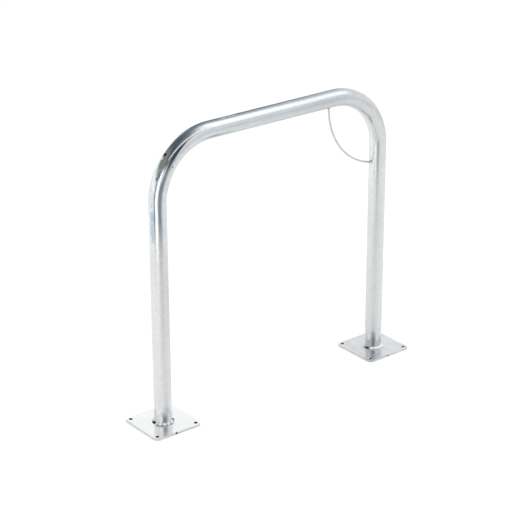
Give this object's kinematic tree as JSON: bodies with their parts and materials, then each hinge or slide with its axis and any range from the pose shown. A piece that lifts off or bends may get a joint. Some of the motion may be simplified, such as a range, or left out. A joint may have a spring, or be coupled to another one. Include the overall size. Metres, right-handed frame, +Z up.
{
  "type": "hoop bike stand",
  "caption": "Galvanised tube hoop on bolt-down base plates, for leaning and locking bicycles, with a thin rod eye across a top corner for a lock.",
  "frame": {"origin": "on the ground, midway between the legs, in the plane of the hoop", "axes": "+Z up, +X along the rail towards the corner with the rod eye, +Y away from the plates' nicked edges"},
  "size_m": [0.9, 0.15, 0.82],
  "materials": {
    "galvanised_tube": "hot-dip galvanised, bright and smooth with streaks",
    "galvanised_plate": "hot-dip galvanised, satin with faint brush marks",
    "galvanised_rod": "hot-dip galvanised, dull grey",
    "galvanised_weld": "zinc-coated weld bead, bright and rippled"
  },
  "bodies": {
    "root": {"hoop_tube": "galvanised_tube", "left_base_plate": "galvanised_plate", "right_base_plate": "galvanised_plate", "locking_loop": "galvanised_rod", "left_foot_weld_front": "galvanised_weld", "left_foot_weld_back": "galvanised_weld", "right_foot_weld_front": "galvanised_weld", "right_foot_weld_back": "galvanised_weld", "loop_rail_weld": "galvanised_weld", "loop_leg_weld": "galvanised_weld"}
  },
  "joints": []
}
